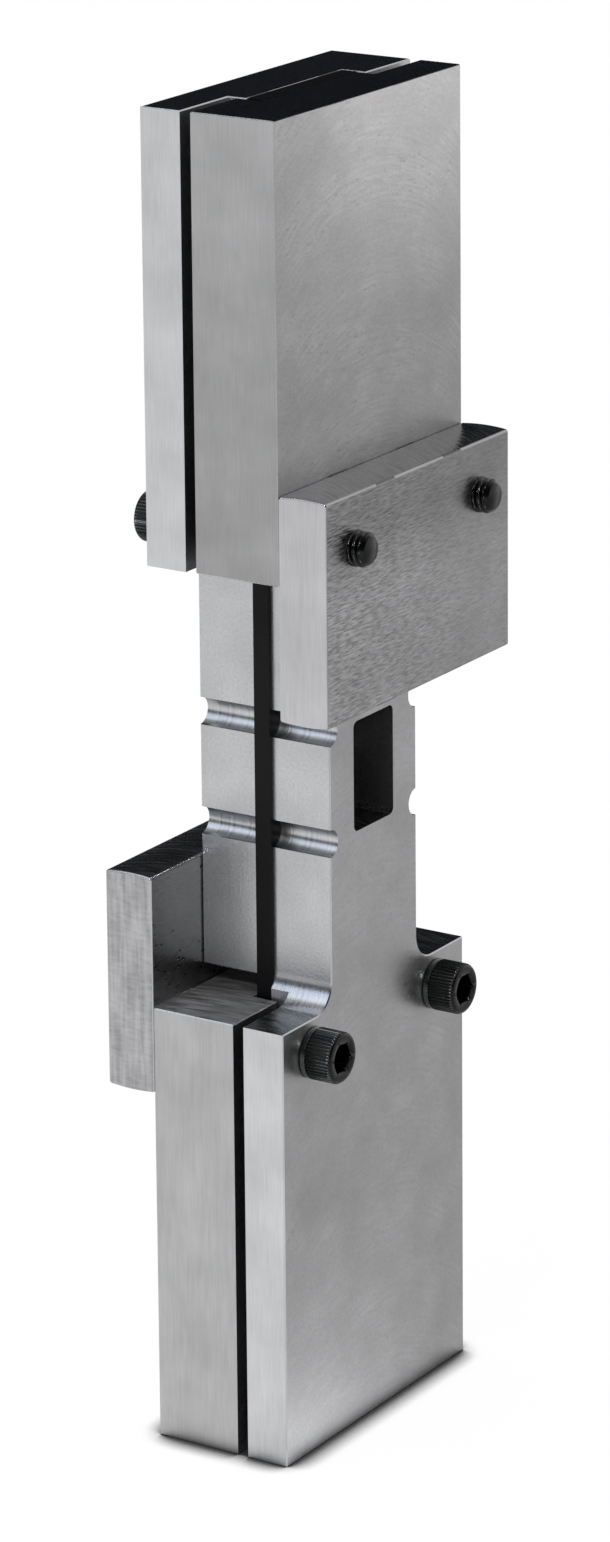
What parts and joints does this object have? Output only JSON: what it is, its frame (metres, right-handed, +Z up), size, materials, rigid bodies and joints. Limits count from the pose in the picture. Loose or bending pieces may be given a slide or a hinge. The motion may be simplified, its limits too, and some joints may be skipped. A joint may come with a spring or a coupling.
{
  "type": "compression test fixture",
  "caption": "Two-part steel fixture that clamps a flat laminate coupon and supports its faces while a press closes the halves.",
  "frame": {"origin": "middle of the bounding box's base, on the lower grips' end faces", "axes": "+Z up along the coupon and the load line; X across the grips' width; -Y towards the side with the lower screw heads"},
  "size_m": [0.0762, 0.066, 0.3048],
  "materials": {
    "laminate": "black carbon fibre laminate, cut edges",
    "ground_steel": "satin ground steel",
    "milled_steel": "satin steel with faint milling swirls",
    "bar_steel": "darker flat bar steel with light scratches",
    "black_oxide": "black oxide alloy steel"
  },
  "bodies": {
    "lower_half": {"lower_long_grip": "ground_steel", "lower_short_grip": "milled_steel", "lower_support_plate": "bar_steel", "lower_screw_left": "black_oxide", "lower_screw_right": "black_oxide", "test_coupon": "laminate"},
    "upper_half": {"upper_long_grip": "ground_steel", "upper_short_grip": "milled_steel", "upper_support_plate": "bar_steel", "upper_screw_left": "black_oxide", "upper_screw_right": "black_oxide"}
  },
  "joints": [
    {"name": "closing_slide", "type": "slide", "parent": "lower_half", "child": "upper_half", "axis": [0, 0, -1], "range_m": [0, 0.0042]}
  ]
}
